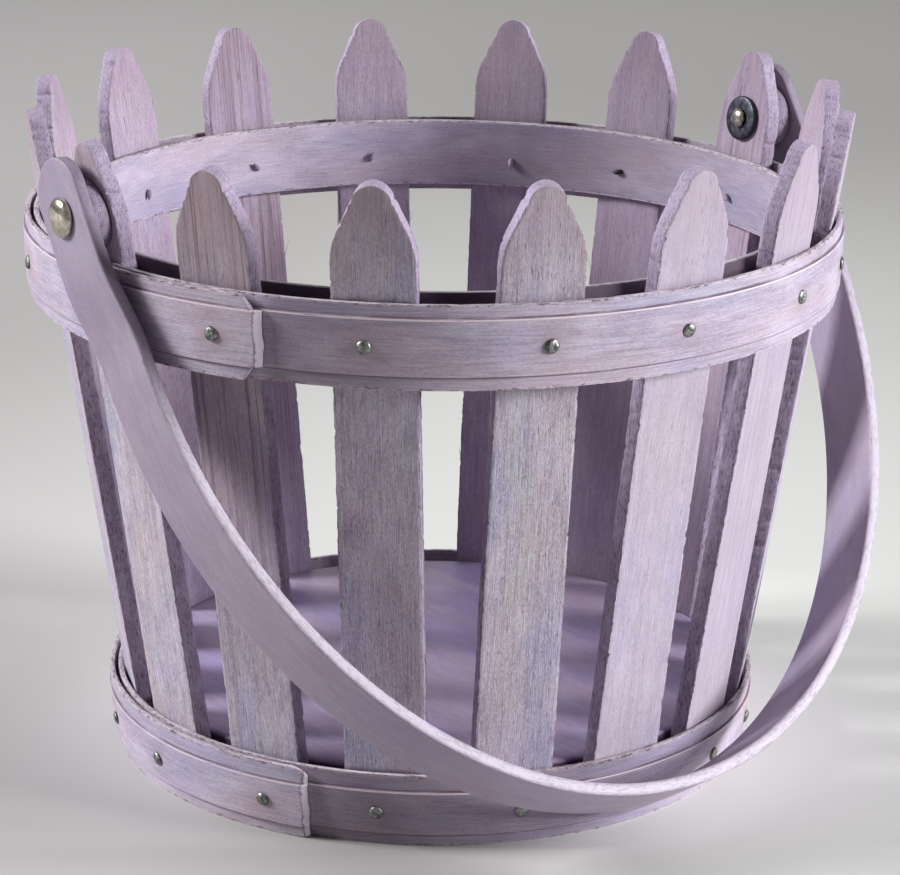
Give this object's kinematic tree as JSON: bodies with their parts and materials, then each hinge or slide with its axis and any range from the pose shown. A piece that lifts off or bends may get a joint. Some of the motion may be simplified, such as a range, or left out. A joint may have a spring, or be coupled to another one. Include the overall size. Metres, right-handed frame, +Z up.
{
  "type": "picket pail basket",
  "caption": "Round wooden pail basket of leaning pickets nailed between hoops, with a solid round base board and a bent-strip drop handle swinging on side rivets.",
  "frame": {"origin": "on the floor at the middle of the base board's underside", "axes": "+Z up, +X along the handle's pivot line, -Y towards the side where the handle hangs at rest"},
  "size_m": [0.2504, 0.233, 0.1902],
  "materials": {
    "stained_wood": "open-grained, thinly stained lavender, matt",
    "satin_wood": "smooth, stained lavender, satin",
    "nail_steel": "dull galvanised",
    "rivet_nickel": "bright, slightly yellow plating",
    "washer_steel": "dark oiled steel"
  },
  "bodies": {
    "basket": {"picket_01": "stained_wood", "picket_02": "stained_wood", "picket_03": "stained_wood", "picket_04": "stained_wood", "picket_05": "stained_wood", "picket_06": "stained_wood", "picket_07": "stained_wood", "picket_08": "stained_wood", "picket_09": "stained_wood", "picket_10": "stained_wood", "picket_11": "stained_wood", "picket_12": "stained_wood", "picket_13": "stained_wood", "picket_14": "stained_wood", "picket_15": "stained_wood", "picket_16": "stained_wood", "top_nail_01": "nail_steel", "top_nail_02": "nail_steel", "top_nail_03": "nail_steel", "top_nail_04": "nail_steel", "top_nail_05": "nail_steel", "top_nail_06": "nail_steel", "top_nail_07": "nail_steel", "top_nail_08": "nail_steel", "top_nail_09": "nail_steel", "top_nail_10": "nail_steel", "top_nail_11": "nail_steel", "top_nail_12": "nail_steel", "top_nail_13": "nail_steel", "top_nail_14": "nail_steel", "top_nail_15": "nail_steel", "top_nail_16": "nail_steel", "bottom_nail_01": "nail_steel", "bottom_nail_02": "nail_steel", "bottom_nail_03": "nail_steel", "bottom_nail_04": "nail_steel", "bottom_nail_05": "nail_steel", "bottom_nail_06": "nail_steel", "bottom_nail_07": "nail_steel", "bottom_nail_08": "nail_steel", "bottom_nail_09": "nail_steel", "bottom_nail_10": "nail_steel", "bottom_nail_11": "nail_steel", "bottom_nail_12": "nail_steel", "bottom_nail_13": "nail_steel", "bottom_nail_14": "nail_steel", "bottom_nail_15": "nail_steel", "bottom_nail_16": "nail_steel", "top_outer_hoop": "stained_wood", "top_inner_hoop": "stained_wood", "bottom_outer_hoop": "stained_wood", "base_board": "satin_wood", "pivot_spacer_left": "stained_wood", "pivot_spacer_right": "stained_wood", "pivot_washer_left": "washer_steel", "pivot_washer_right": "washer_steel", "pivot_rivet_left": "rivet_nickel", "pivot_rivet_right": "rivet_nickel"},
    "handle": {"bail_handle": "satin_wood"}
  },
  "joints": [
    {"name": "handle_swing", "type": "hinge", "parent": "basket", "child": "handle", "pos_m": [0, -0.00323, 0.1704], "axis": [-1, 0, 0], "range_deg": [0, 288]}
  ]
}
